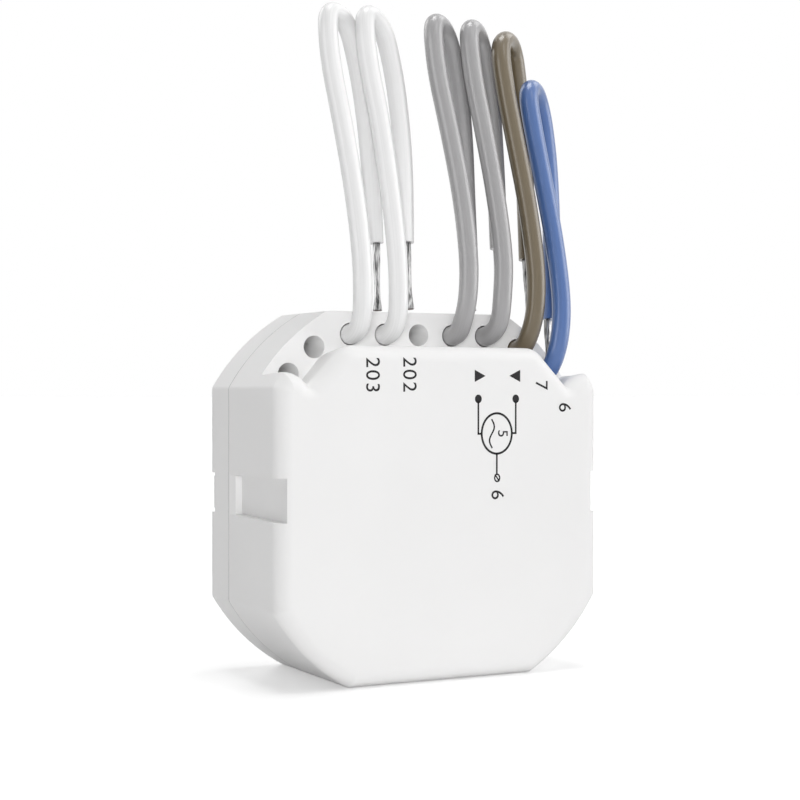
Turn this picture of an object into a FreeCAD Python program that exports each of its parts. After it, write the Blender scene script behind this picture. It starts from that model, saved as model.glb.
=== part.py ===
import FreeCAD, Part
import math
import os
from FreeCAD import Vector

# Flush-box roller shutter controller with six wire pigtails.
# Millimetres, +Z up, the front with the print faces -Y. The origin is under the middle of the housing.

# Housing: a square with its corners cut by one big circle, as a round 60 mm wall box needs it
housing_width = 47.5
housing_height = 48.2
housing_depth = 22.8
corner_cut = 6.236         # how far the big circle cuts in from each square corner
shell_wall = 1.5
front_round = 2.0          # fillet round the front face and along the recess's lip
outline_blend = 1.0        # fillet where a flat side meets a corner arc
rear_round = 0.2
parting_groove = 0.22      # chamfer of the cover's front edge: it shows as the parting line
cover_depth = 6.4          # how much of the depth belongs to the rear cover

# Wire recess in the upper front: a lip in front, a sloping floor and a flat wall with the wire holes
recess_depth = 7.8         # front face to hole wall
lip_drop = 4.7             # flat lip edge below the top of the housing
lip_corner_round = 3.0     # where the flat lip edge turns into the diagonals
mouth_margin = 0.1         # the recess runs straight back this much further than the front's rounding
notch_below_hole = 1.49    # bottom of the notch, below the outermost wire hole's axis
notch_beyond_hole = 0.17   # and this much nearer to the side
diagonal_turn = 1.85       # degrees by which the diagonal lip is steeper than the pair of holes behind it
end_wall_beyond_hole = 4.2     # outer end of the short wall beyond the notch
end_wall_above_hole = 0.1
end_wall_bow = 0.6
floor_fall = 0.65          # the floor falls this much from the lip to the hole wall
notch_fall = 0.65          # and the notch falls this much more, clear of the wire hole
rear_wall_bow = 0.12       # bow of the end wall where it meets the hole wall

# Wire holes: a row of five and two on each diagonal
wire_pitch = 5.08
row_count = 5
row_drop = 3.0             # row axis below the top of the housing
hole_diameter = 2.95
hole_inset = 3.05          # hole axes of the diagonal pairs inside the corner circle
guide_wall = 0.7           # wall of the sleeve behind each hole
guide_end_gap = 0.2        # sleeves end this far in front of the button

# Grip pockets in the two sides, and the latch notches in the rear edge
pocket_depth = 1.3
pocket_rear_half = 2.55
pocket_front_half = 2.8
pocket_rim = 1.3           # strip between the pocket and the parting line
rim_slope = 0.4
latch_half = 2.15
latch_sink = 0.35
latch_length = 1.2
latch_slot = 0.5
latch_slot_sink = 0.6
pocket_wall = 1.0          # wall behind the pocket

# Cover lip tabs, which plug into the front shell
tab_thickness = 0.9
tab_length = 3.0
tab_width = 7.0
tab_clearance = 0.1
tab_corner_gap = 1.35      # the two bottom tabs end this far before the corner arcs

# Main board and what carries it
board_thickness = 1.6
board_edge_gap = 0.2
post_diameter = 3.4
pin_diameter = 1.5
pin_clearance = 0.1
pin_length = 2.1
post_low_in, post_low_z = 7.15, 8.2         # in from the housing's side, up from its base
post_high_in, post_high_down = 4.35, 9.9    # in from the housing's side, down from the lip
press_bore = 2.1
press_gap = 0.05

# Wires
wire_diameter = 2.5
conductor_diameter = 1.05
tinned_length = 9.0
blue_tinned_length = 7.0   # the short blue wire ends just above the recess floor
tail_strip = 1.6           # insulation ends this far in front of the board
lead_through = 1.0         # leads stand this far out of the board's back
lead_clearance = 0.1
solder_radius = 1.0
solder_height = 0.9

# Relays
relay_width = 10.0
relay_length = 20.3
relay_height = 12.5
relay_wall = 0.5
relay_base = 1.5
relay_gap = 0.5            # between the two relays
relay_board_gap = 0.35     # right relay inside the board's edge
relay_low_z = 10.6
coil_diameter = 6.0
coil_length = 9.0
coil_height = 7.2
coil_end_y = 2.5           # armature end of the bobbin from the relay's middle
flange_size = 6.4
flange_thickness = 0.8
core_diameter = 2.6
pole_diameter = 4.0
pole_thickness = 0.6
pole_gap = 0.45
yoke_thickness = 0.9
yoke_gap = 0.2
armature_thickness = 0.8
armature_low = 4.2
armature_half_width = 3.0
blade_thickness = 0.25
blade_half_width = 1.4
contact_diameter = 1.4
contact_thickness = 0.5
contact_gap = 0.6
contact_z = 2.7
hinge_clearance = 0.05      # armature plate to the end of the yoke
relay_pin = 0.8

# Other parts on the board: sizes, then the place of each centre. In is from the housing's side, left is from
# the relays' left side, down is from the lip and z is from the base.
fuse_diameter, fuse_height, fuse_pitch = 8.4, 7.6, 5.08
fuse_left, fuse_down = 4.3, 9.5
varistor_diameter, varistor_thickness, varistor_pitch = 7.4, 4.2, 5.0
varistor_left, varistor_down = -5.1, 7.9
film_length, film_thickness, film_height, film_pitch = 13.0, 5.0, 11.0, 10.0
film_left, film_z = -1.8, 6.4
bulk_diameter, bulk_height, bulk_pitch = 8.0, 12.0, 3.5
bulk_in, bulk_z = 8.35, 16.2
output_diameter, output_height, output_pitch = 6.3, 7.7, 2.5
output_left, output_z = 8.6, 9.2
inductor_diameter, inductor_height, inductor_pitch = 8.0, 9.0, 5.0
inductor_left, inductor_z = 5.2, 18.6
lead_diameter = 0.6
rectifier_left, rectifier_z = 11.2, 25.4
rectifier_length, rectifier_pitch = 4.8, 2.54
supply_left, supply_z = 4.2, 26.2
supply_length, supply_pitch = 4.9, 1.27
chip_width, chip_height = 3.9, 1.6
control_in, control_down = 10.35, 8.1
control_size, control_height = 6.0, 0.9
radio_in, radio_below = 10.65, 9.0          # below the left inner wire hole, which the button stands behind
radio_width, radio_height, radio_thickness = 8.8, 11.0, 0.8
shield_width, shield_height, shield_rise = 8.0, 6.4, 1.8

# Pairing button and status light, each behind one of the free holes of the left diagonal
button_length, button_width, button_height = 4.0, 3.0, 2.0
button_inset = 0.5         # nearer to the middle than the hole, so that its base stays on the board
plunger_diameter = 1.5
plunger_rise = 0.55
plunger_sunk = 0.6
plunger_clearance = 0.05
plunger_travel = 0.25
led_length, led_width, led_height = 3.0, 1.5, 1.0

# Worked out from the sizes above
half_width = housing_width / 2
half_depth = housing_depth / 2
centre_z = housing_height / 2
front_y = -half_depth
rear_y = half_depth
parting_y = rear_y - cover_depth
wall_y = front_y + recess_depth
corner_reach = math.hypot(half_width, centre_z) - corner_cut
diagonal_reach = corner_reach - hole_inset
tab_spread = math.sqrt(corner_reach ** 2 - centre_z ** 2) - tab_corner_gap - tab_width / 2
pair_angle = (math.acos(half_width / corner_reach) + math.asin(centre_z / corner_reach)) / 2
diagonal_rise = math.tan(math.pi / 2 - pair_angle + math.radians(diagonal_turn))
row_z = housing_height - row_drop
lip_z = housing_height - lip_drop
board_y = parting_y        # the board lies against the posts, which end at the parting plane
board_back_y = board_y + board_thickness
hole_radius = hole_diameter / 2
wire_radius = wire_diameter / 2
conductor_radius = conductor_diameter / 2
guide_end_y = board_y - button_height - guide_end_gap
board_side_gap = shell_wall + tab_clearance + tab_thickness + board_edge_gap
post_low_x = half_width - post_low_in
post_high_x = half_width - post_high_in
post_high_z = lip_z - post_high_down
relay_left_x = half_width - board_side_gap - relay_board_gap - 2 * relay_width - relay_gap
fuse_x, fuse_z = relay_left_x - fuse_left, lip_z - fuse_down
varistor_x, varistor_z = relay_left_x - varistor_left, lip_z - varistor_down
film_x = relay_left_x - film_left
bulk_x = bulk_in - half_width
output_x = relay_left_x - output_left
inductor_x = relay_left_x - inductor_left
rectifier_x = relay_left_x - rectifier_left
supply_x = relay_left_x - supply_left
control_x, control_z = half_width - control_in, lip_z - control_down
radio_x = radio_in - half_width
mouth_y = front_y + front_round + mouth_margin
beyond = 5.0               # how far a cutter runs past the body

parts = {}
lead_places = []           # (x, z, radius) of every lead that goes through the board


def add(name, shape):
    """Keep a finished piece under its name."""
    parts[name] = shape
    return shape


def box(x0, y0, z0, x1, y1, z1):
    return Part.makeBox(x1 - x0, y1 - y0, z1 - z0, Vector(x0, y0, z0))


def disc(radius, y0, y1, x, z):
    """A cylinder along Y between two depths."""
    return Part.makeCylinder(radius, y1 - y0, Vector(x, y0, z), Vector(0, 1, 0))


def edges_where(shape, test):
    return [edge for edge in shape.Edges if test(edge)]


def lies_in_plane_y(edge, y):
    return all(abs(point.y - y) < 1e-6 for point in edge.discretize(5))


def runs_along_y(edge):
    first, last = edge.Vertexes[0].Point, edge.Vertexes[-1].Point
    return abs(first.x - last.x) < 1e-6 and abs(first.z - last.z) < 1e-6 and abs(first.y - last.y) > 1e-6


def outline_prism(inset, y0, y1, blend):
    """The housing's outline, made smaller all round by inset, between two depths."""
    square = box(-half_width + inset, y0, inset, half_width - inset, y1, housing_height - inset)
    round_part = disc(corner_reach - inset, y0, y1, 0, centre_z)
    prism = square.common(round_part).removeSplitter()
    if blend > 0:
        prism = prism.makeFillet(blend, edges_where(prism, runs_along_y))
    return prism


def turn_points(before, corner, after, radius):
    """Start, middle and end of the arc that rounds a corner of a profile."""
    to_before = (before - corner).normalize()
    to_after = (after - corner).normalize()
    half_angle = to_before.getAngle(to_after) / 2
    reach = radius / math.tan(half_angle)
    bisector = (to_before + to_after).normalize()
    centre = corner + bisector * (radius / math.sin(half_angle))
    return corner + to_before * reach, centre - bisector * radius, corner + to_after * reach


def hole_places():
    """Centre of every wire hole, from left to right: two on a diagonal, the row, two on the other."""
    row = [((i - (row_count - 1) / 2) * wire_pitch, row_z) for i in range(row_count)]
    outward = Vector(math.cos(pair_angle), 0, math.sin(pair_angle)) * diagonal_reach
    along = Vector(-math.sin(pair_angle), 0, math.cos(pair_angle)) * (wire_pitch / 2)
    right = [(outward.x + step.x, centre_z + outward.z + step.z) for step in (along, -along)]
    left = [(-x, z) for x, z in reversed(right)]
    return left + row + right


holes = hole_places()
left_outer_hole, left_inner_hole = holes[0], holes[1]
right_outer_hole = holes[-1]
radio_z = left_inner_hole[1] - radio_below
wire_holes = {
    "white_1": holes[2],
    "white_2": holes[3],
    "grey_1": holes[5],
    "grey_2": holes[6],
    "brown": holes[7],
    "blue": holes[8],
}


def recess_profile(y, inward, end_inward, notch_sink, bow_height):
    """Outline of the wire recess at one depth, seen from the front, open past the top of the housing."""
    lip_angle = math.atan(diagonal_rise)
    corner_shift = inward * math.tan(lip_angle / 2)
    hole_x, hole_z = right_outer_hole
    notch_x = hole_x + notch_beyond_hole
    notch_z = hole_z - notch_below_hole
    lip_half_width = notch_x - (lip_z - notch_z) / diagonal_rise
    end_wall_x = hole_x + end_wall_beyond_hole
    end_wall_z = hole_z + end_wall_above_hole
    lip_corner = Vector(lip_half_width - corner_shift, y, lip_z - inward)
    notch = Vector(
        notch_x - inward * math.sin(lip_angle), y,
        notch_z - inward * math.cos(lip_angle) - notch_sink - end_inward / 2)
    end = Vector(end_wall_x, y, end_wall_z - end_inward)
    bow = Vector((notch.x + end.x) / 2 - bow_height / 2, y, (notch.z + end.z) / 2 + bow_height)
    outside = Vector(half_width + beyond, y, end.z)
    top = Vector(half_width + beyond, y, housing_height + beyond)
    middle = Vector(0, y, lip_corner.z)
    start, mid, stop = turn_points(middle, lip_corner, notch, lip_corner_round)

    def mirrored(point):
        return Vector(-point.x, point.y, point.z)

    edges = [
        Part.makeLine(mirrored(start), start),
        Part.Arc(start, mid, stop).toShape(),
        Part.makeLine(stop, notch),
        Part.Arc(notch, bow, end).toShape(),
        Part.makeLine(end, outside),
        Part.makeLine(outside, top),
        Part.makeLine(top, mirrored(top)),
        Part.makeLine(mirrored(top), mirrored(outside)),
        Part.makeLine(mirrored(outside), mirrored(end)),
        Part.Arc(mirrored(end), mirrored(bow), mirrored(notch)).toShape(),
        Part.makeLine(mirrored(notch), mirrored(stop)),
        Part.Arc(mirrored(stop), mirrored(mid), mirrored(start)).toShape(),
    ]
    return Part.Wire(edges)


def recess_mouth(grow):
    """The front of the wire recess, straight, so that its edge takes the same rounding as the housing."""
    profile = recess_profile(front_y - beyond, grow, grow, 0, end_wall_bow)
    return Part.Face(profile).extrude(Vector(0, mouth_y - front_y + beyond, 0))


def recess_rear(grow):
    """The rest of the wire recess: its floor falls to the hole wall."""
    slope = floor_fall / (wall_y - mouth_y)
    mouth_profile = recess_profile(mouth_y, grow, grow, 0, end_wall_bow)
    fall = floor_fall + slope * grow
    wall_profile = recess_profile(wall_y + grow, grow + fall, grow, notch_fall, rear_wall_bow)
    return Part.makeLoft([mouth_profile, wall_profile], True, True)


def side_pocket(side):
    """Grip pocket in one side: it flares a little and runs out through the front rounding."""
    rear = parting_y - pocket_rim
    outer_x = half_width + 1.0
    inner_x = half_width - pocket_depth
    front = front_y - 1.0

    def rectangle(y, half):
        corners = [
            Vector(side * inner_x, y, centre_z - half),
            Vector(side * outer_x, y, centre_z - half),
            Vector(side * outer_x, y, centre_z + half),
            Vector(side * inner_x, y, centre_z + half),
        ]
        return Part.makePolygon(corners + corners[:1])

    return Part.makeLoft([rectangle(front, pocket_front_half), rectangle(rear, pocket_rear_half)], True, True)


def rim_wedge(side):
    """The strip behind the pocket leans inwards, so that a fingernail finds the pocket."""
    rear = parting_y
    front = parting_y - pocket_rim - 0.01
    triangle = Part.makePolygon([
        Vector(side * half_width, rear, 0),
        Vector(side * (half_width - rim_slope), front, 0),
        Vector(side * (half_width + 1.0), front, 0),
        Vector(side * (half_width + 1.0), rear, 0),
        Vector(side * half_width, rear, 0),
    ])
    wedge = Part.Face(triangle).extrude(Vector(0, 0, 2 * pocket_rear_half))
    wedge.translate(Vector(0, 0, centre_z - pocket_rear_half))
    return wedge


def post_places():
    low = [(side * post_low_x, post_low_z) for side in (-1, 1)]
    high = [(side * post_high_x, post_high_z) for side in (-1, 1)]
    return low + high


def make_front_shell():
    """Front moulding: printed face, side walls, wire recess, board posts with locating pins."""
    body = outline_prism(0, front_y, parting_y, outline_blend)
    body = body.cut(recess_mouth(0))
    body = body.makeFillet(front_round, edges_where(body, lambda edge: lies_in_plane_y(edge, front_y)))
    body = body.cut(recess_rear(0))
    hollow = outline_prism(shell_wall, front_y + shell_wall, parting_y + 1.0, 0)
    hollow = hollow.cut(recess_mouth(shell_wall)).cut(recess_rear(shell_wall))
    body = body.cut(hollow)
    for x, z in holes:
        body = body.fuse(disc(hole_radius + guide_wall, wall_y + shell_wall / 2, guide_end_y, x, z))
    for x, z in holes:
        body = body.cut(disc(hole_radius, wall_y - 0.5, guide_end_y + 0.5, x, z))
    for side in (-1, 1):
        inner = side * (half_width - pocket_depth - pocket_wall)
        outer = side * (half_width - shell_wall / 2)
        rib_half = pocket_front_half + pocket_wall
        rib = box(
            min(inner, outer), front_y + shell_wall / 2, centre_z - rib_half,
            max(inner, outer), parting_y - tab_length - tab_clearance, centre_z + rib_half,
        )
        body = body.fuse(rib)
        body = body.cut(side_pocket(side))
        body = body.cut(rim_wedge(side))
    for x, z in post_places():
        body = body.fuse(disc(post_diameter / 2, front_y + shell_wall / 2, board_y, x, z))
        body = body.fuse(disc(pin_diameter / 2, board_y - 0.5, board_y + pin_length, x, z))
    return body.removeSplitter()


def tab_boxes():
    """The cover's lip tabs: one in each side wall and two in the bottom wall."""
    y0, y1 = parting_y - tab_length, parting_y + tab_length / 2
    inner = half_width - shell_wall - tab_clearance
    tabs = []
    for side in (-1, 1):
        x0, x1 = sorted((side * inner, side * (inner - tab_thickness)))
        tabs.append(box(x0, y0, centre_z - tab_width / 2, x1, y1, centre_z + tab_width / 2))
        mid = side * tab_spread
        low = shell_wall + tab_clearance
        tabs.append(box(mid - tab_width / 2, y0, low, mid + tab_width / 2, y1, low + tab_thickness))
    return tabs


def make_rear_cover():
    """Rear moulding: a shallow lid with lip tabs, hollow press posts and latch notches."""
    body = outline_prism(0, parting_y, rear_y, outline_blend)
    body = body.makeFillet(rear_round, edges_where(body, lambda edge: lies_in_plane_y(edge, rear_y)))
    body = body.makeChamfer(parting_groove, edges_where(body, lambda edge: lies_in_plane_y(edge, parting_y)))
    hollow = outline_prism(shell_wall, parting_y - 1.0, rear_y - shell_wall, 0)
    body = body.cut(hollow)
    wall_bridge = shell_wall / 2
    for tab in tab_boxes():
        body = body.fuse(tab)
    for side in (-1, 1):
        inner = half_width - shell_wall - tab_clearance
        x0, x1 = sorted((side * (inner - tab_thickness), side * (half_width - wall_bridge)))
        body = body.fuse(box(
            x0, parting_y, centre_z - tab_width / 2,
            x1, parting_y + tab_length / 2, centre_z + tab_width / 2,
        ))
        mid = side * tab_spread
        body = body.fuse(box(
            mid - tab_width / 2, parting_y, wall_bridge,
            mid + tab_width / 2, parting_y + tab_length / 2, shell_wall + tab_clearance + tab_thickness,
        ))
        outer = half_width + 1.0
        x0, x1 = sorted((side * (half_width - latch_sink), side * outer))
        body = body.cut(box(
            x0, rear_y - latch_length, centre_z - latch_half - latch_slot,
            x1, rear_y + 1.0, centre_z + latch_half + latch_slot,
        ))
        x0, x1 = sorted((side * (half_width - latch_slot_sink), side * outer))
        for z0 in (centre_z + latch_half, centre_z - latch_half - latch_slot):
            body = body.cut(box(x0, rear_y - latch_length, z0, x1, rear_y + 1.0, z0 + latch_slot))
    for x, z in post_places():
        post = disc(post_diameter / 2, board_back_y + press_gap, rear_y - shell_wall / 2, x, z)
        bore = disc(press_bore / 2, board_back_y + press_gap - 0.5, rear_y - shell_wall, x, z)
        body = body.fuse(post.cut(bore))
    return body.removeSplitter()


def place_on_board(shape, x, z, turn=0):
    """Stand a part, made upright on local z 0, on the board's front face."""
    upright = shape.copy()
    upright.rotate(Vector(0, 0, 0), Vector(0, 0, 1), turn)
    upright.rotate(Vector(0, 0, 0), Vector(1, 0, 0), 90)
    upright.translate(Vector(x, board_y, z))
    return upright


def local_box(cx, cy, z0, size_x, size_y, size_z):
    return Part.makeBox(size_x, size_y, size_z, Vector(cx - size_x / 2, cy - size_y / 2, z0))


def lead(cx, cy, radius, top=0.0):
    """A round lead in a part's own frame, from inside the part through the board."""
    bottom = -(board_thickness + lead_through)
    return Part.makeCylinder(radius, top - bottom, Vector(cx, cy, bottom))


def note_leads(x, z, turn, places, radius):
    """Remember where leads cross the board, for its holes and its solder joints."""
    angle = math.radians(turn)
    for cx, cy in places:
        board_x = x + cx * math.cos(angle) - cy * math.sin(angle)
        board_z = z + cx * math.sin(angle) + cy * math.cos(angle)
        lead_places.append((board_x, board_z, radius))


def pin_pair(pitch):
    return [(-pitch / 2, 0), (pitch / 2, 0)]


def leaded_part(name, body, x, z, places, turn=0, radius=None):
    """A part with wire leads: the leads are one piece with its body."""
    radius = lead_diameter / 2 if radius is None else radius
    shape = body
    for cx, cy in places:
        shape = shape.fuse(lead(cx, cy, radius, 0.3))
    note_leads(x, z, turn, places, radius)
    return add(name, place_on_board(shape.removeSplitter(), x, z, turn))


def make_relay(number, x, z):
    """One relay: case, base, coil on its core, yoke, hinged armature with contact blade, fixed contact."""
    prefix = "relay_%d_" % number
    half_length = relay_length / 2
    pole_face = coil_end_y + pole_thickness
    plate_y = pole_face + pole_gap
    yoke_z = coil_height + flange_size / 2 + yoke_gap

    case = local_box(0, 0, 0, relay_width, relay_length, relay_height)
    case = case.makeFillet(0.4, edges_where(case, lambda edge: edge.BoundBox.ZMax > relay_height / 2))
    inner_width = relay_width - 2 * relay_wall
    inner_length = relay_length - 2 * relay_wall
    case = case.cut(local_box(0, 0, -1.0, inner_width, inner_length, relay_height + 1.0 - relay_wall))
    base = local_box(0, 0, 0, inner_width - 0.1, inner_length - 0.1, relay_base)

    rear_y_local = coil_end_y - coil_length
    winding = Part.makeCylinder(
        coil_diameter / 2, coil_length - 2 * flange_thickness,
        Vector(0, rear_y_local + flange_thickness, coil_height), Vector(0, 1, 0))
    flanges = []
    for y0 in (rear_y_local, coil_end_y - flange_thickness):
        flanges.append(local_box(0, y0 + flange_thickness / 2, coil_height - flange_size / 2,
                                 flange_size, flange_thickness, flange_size))
    foot = local_box(0, rear_y_local + coil_length / 2, relay_base, flange_size / 2, coil_length,
                     coil_height - relay_base - core_diameter / 2)
    bobbin = flanges[0].fuse(flanges[1]).fuse(foot.cut(winding))
    core_hole = Part.makeCylinder(core_diameter / 2, coil_length + 2.0,
                                  Vector(0, rear_y_local - 1.0, coil_height), Vector(0, 1, 0))
    winding = winding.cut(core_hole)
    bobbin = bobbin.cut(core_hole)
    core = disc(core_diameter / 2, rear_y_local, rear_y_local + coil_length, 0, coil_height)
    pole = disc(pole_diameter / 2, coil_end_y, coil_end_y + pole_thickness, 0, coil_height)
    heel = local_box(0, rear_y_local - yoke_thickness / 2, relay_base, flange_size, yoke_thickness,
                     yoke_z + yoke_thickness - relay_base)
    top_length = plate_y - rear_y_local
    bridge = local_box(0, rear_y_local + top_length / 2, yoke_z, flange_size, top_length, yoke_thickness)
    yoke = core.fuse(pole).fuse(heel).fuse(bridge)

    plate_top = yoke_z + yoke_thickness
    plate = local_box(0, plate_y + armature_thickness / 2 + hinge_clearance, armature_low,
                      2 * armature_half_width, armature_thickness, plate_top - armature_low)
    blade_y = plate_y + armature_thickness + hinge_clearance
    blade_low = contact_z - contact_diameter / 2 - 0.2
    blade = local_box(0, blade_y + blade_thickness / 2, blade_low,
                      2 * blade_half_width, blade_thickness, plate_top - 1.0 - blade_low)
    moving_contact = Part.makeCylinder(contact_diameter / 2, contact_thickness,
                                       Vector(0, blade_y - contact_thickness, contact_z), Vector(0, 1, 0))
    fixed_face = blade_y - contact_thickness - contact_gap
    fixed_contact = Part.makeCylinder(contact_diameter / 2, contact_thickness,
                                      Vector(0, fixed_face - contact_thickness, contact_z), Vector(0, 1, 0))
    fixed_y = fixed_face - contact_thickness - blade_thickness
    fixed_blade = local_box(0, fixed_y + blade_thickness / 2, relay_base,
                            2 * blade_half_width, blade_thickness,
                            contact_z + contact_diameter / 2 - relay_base)
    contact_pin = lead(0, fixed_y + blade_thickness / 2, relay_pin / 2, relay_base)
    pin_y = half_length - 2.2
    pins = [(-3.6, -pin_y), (3.6, -pin_y), (-3.6, pin_y), (3.6, pin_y)]
    for cx, cy in pins:
        base = base.fuse(lead(cx, cy, relay_pin / 2, 0.3))
    base = base.cut(Part.makeCylinder(relay_pin / 2, relay_base + 2.0,
                                      Vector(0, fixed_y + blade_thickness / 2, -1.0)))

    add(prefix + "case", place_on_board(case.removeSplitter(), x, z))
    add(prefix + "base", place_on_board(base.removeSplitter(), x, z))
    add(prefix + "bobbin", place_on_board(bobbin.removeSplitter(), x, z))
    add(prefix + "winding", place_on_board(winding, x, z))
    add(prefix + "yoke", place_on_board(yoke.removeSplitter(), x, z))
    add(prefix + "armature", place_on_board(plate, x, z))
    add(prefix + "contact_blade", place_on_board(blade.fuse(moving_contact).removeSplitter(), x, z))
    fixed = fixed_blade.fuse(fixed_contact).fuse(contact_pin).removeSplitter()
    add(prefix + "fixed_contact", place_on_board(fixed, x, z))
    note_leads(x, z, 0, pins + [(0, fixed_y + blade_thickness / 2)], relay_pin / 2)
    print("relay %d armature hinge: x %.3f y %.3f z %.3f" % (number, x, board_y - yoke_z, z + plate_y))


def make_relays():
    for number in (1, 2):
        x = relay_left_x + relay_width / 2 + (number - 1) * (relay_width + relay_gap)
        make_relay(number, x, relay_low_z + relay_length / 2)


def make_power_parts():
    """Mains side: fuse, surge absorber, film capacitor, rectifier, storage and output capacitors, choke."""
    fuse = Part.makeCylinder(fuse_diameter / 2, fuse_height)
    fuse = fuse.makeFillet(0.6, [fuse.Edges[0]])
    leaded_part("fuse", fuse, fuse_x, fuse_z, pin_pair(fuse_pitch))

    lens = Part.makeCylinder(varistor_diameter / 2, varistor_thickness,
                             Vector(0, -varistor_thickness / 2, varistor_diameter / 2), Vector(0, 1, 0))
    lens = lens.makeFillet(varistor_thickness * 0.3, [e for e in lens.Edges if len(e.Vertexes) == 1])
    skirt = local_box(0, 0, 0, 6.2, 1.6, varistor_diameter / 2)
    leaded_part("varistor", lens.fuse(skirt), varistor_x, varistor_z, pin_pair(varistor_pitch))

    film = local_box(0, 0, 0, film_length, film_thickness, film_height)
    film = film.makeFillet(0.5, [e for e in film.Edges if max(v.Point.z for v in e.Vertexes) > 1.0])
    leaded_part("film_capacitor", film, film_x, film_z, pin_pair(film_pitch))

    def can(diameter, height):
        radius = diameter / 2
        groove = 0.25
        profile = Part.Wire([
            Part.makeLine(Vector(0, 0, 0), Vector(radius - 0.3, 0, 0)),
            Part.makeLine(Vector(radius - 0.3, 0, 0), Vector(radius, 0, 0.5)),
            Part.makeLine(Vector(radius, 0, 0.5), Vector(radius, 0, 1.2)),
            Part.Arc(Vector(radius, 0, 1.2), Vector(radius - groove, 0, 1.6),
                     Vector(radius, 0, 2.0)).toShape(),
            Part.makeLine(Vector(radius, 0, 2.0), Vector(radius, 0, height - 0.4)),
            Part.makeLine(Vector(radius, 0, height - 0.4), Vector(radius - 0.4, 0, height)),
            Part.makeLine(Vector(radius - 0.4, 0, height), Vector(0, 0, height)),
            Part.makeLine(Vector(0, 0, height), Vector(0, 0, 0)),
        ])
        return Part.Face(profile).revolve(Vector(0, 0, 0), Vector(0, 0, 1), 360)

    leaded_part("bulk_capacitor", can(bulk_diameter, bulk_height), bulk_x, bulk_z, pin_pair(bulk_pitch))
    leaded_part("output_capacitor", can(output_diameter, output_height), output_x, output_z,
                pin_pair(output_pitch))

    flange = 1.0
    waist = inductor_diameter / 2 - 1.4
    lower = Part.makeCylinder(inductor_diameter / 2, flange)
    upper = Part.makeCylinder(inductor_diameter / 2, flange, Vector(0, 0, inductor_height - flange))
    stem = Part.makeCylinder(waist, inductor_height)
    leaded_part("inductor_core", lower.fuse(upper).fuse(stem), inductor_x, inductor_z,
                pin_pair(inductor_pitch))
    coil = Part.makeCylinder(inductor_diameter / 2 - 0.3, inductor_height - 2 * flange, Vector(0, 0, flange))
    coil = coil.cut(Part.makeCylinder(waist, inductor_height))
    add("inductor_winding", place_on_board(coil, inductor_x, inductor_z))


def gull_wing_chip(length, width, height, pins_per_side, pitch):
    """A small chip package with bent legs along its two long sides."""
    body = local_box(0, 0, 0.15, length, width, height - 0.15)
    body = body.makeChamfer(0.15, [e for e in body.Edges if min(v.Point.z for v in e.Vertexes) > height / 2])
    for i in range(pins_per_side):
        cx = (i - (pins_per_side - 1) / 2) * pitch
        for side in (-1, 1):
            body = body.fuse(local_box(cx, side * (width / 2 + 0.35), 0, 0.4, 0.9, 0.2))
            body = body.fuse(local_box(cx, side * (width / 2 + 0.1), 0, 0.4, 0.4, height / 2))
    return body.removeSplitter()


def make_chips():
    rectifier = gull_wing_chip(rectifier_length, chip_width, chip_height, 2, rectifier_pitch)
    supply = gull_wing_chip(supply_length, chip_width, chip_height, 4, supply_pitch)
    add("rectifier", place_on_board(rectifier, rectifier_x, rectifier_z))
    add("supply_chip", place_on_board(supply, supply_x, supply_z))
    control = local_box(0, 0, 0, control_size, control_size, control_height)
    control = control.makeChamfer(0.12, edges_where(control, lambda edge: edge.BoundBox.ZMin > 0.5))
    add("control_chip", place_on_board(control, control_x, control_z))


def make_radio():
    """Radio module: its own small board, a shield can and a folded aerial strip."""
    board = local_box(0, 0, 0, radio_width, radio_height, radio_thickness)
    add("radio_board", place_on_board(board, radio_x, radio_z))
    shield_y = (radio_height - shield_height) / 2 - 0.6
    shield = local_box(0, -shield_y, radio_thickness, shield_width, shield_height, shield_rise)
    shield = shield.makeFillet(0.3, [e for e in shield.Edges
                                     if min(v.Point.z for v in e.Vertexes) > radio_thickness + 0.1])
    shield = shield.cut(local_box(0, -shield_y, radio_thickness, shield_width - 0.4, shield_height - 0.4,
                                  shield_rise - 0.2))
    add("radio_shield", place_on_board(shield, radio_x, radio_z))
    strip, rise = 0.5, 0.2
    aerial_y = radio_height / 2 - 2.6
    aerial = local_box(0, aerial_y, radio_thickness, radio_width - 1.6, strip, rise)
    step = (radio_width - 1.6 - strip) / 4
    for i in range(5):
        cx = (i - 2) * step
        aerial = aerial.fuse(local_box(cx, aerial_y + 0.9, radio_thickness, strip, 1.8 + strip, rise))
    add("radio_aerial", place_on_board(aerial.removeSplitter(), radio_x, radio_z))


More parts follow.
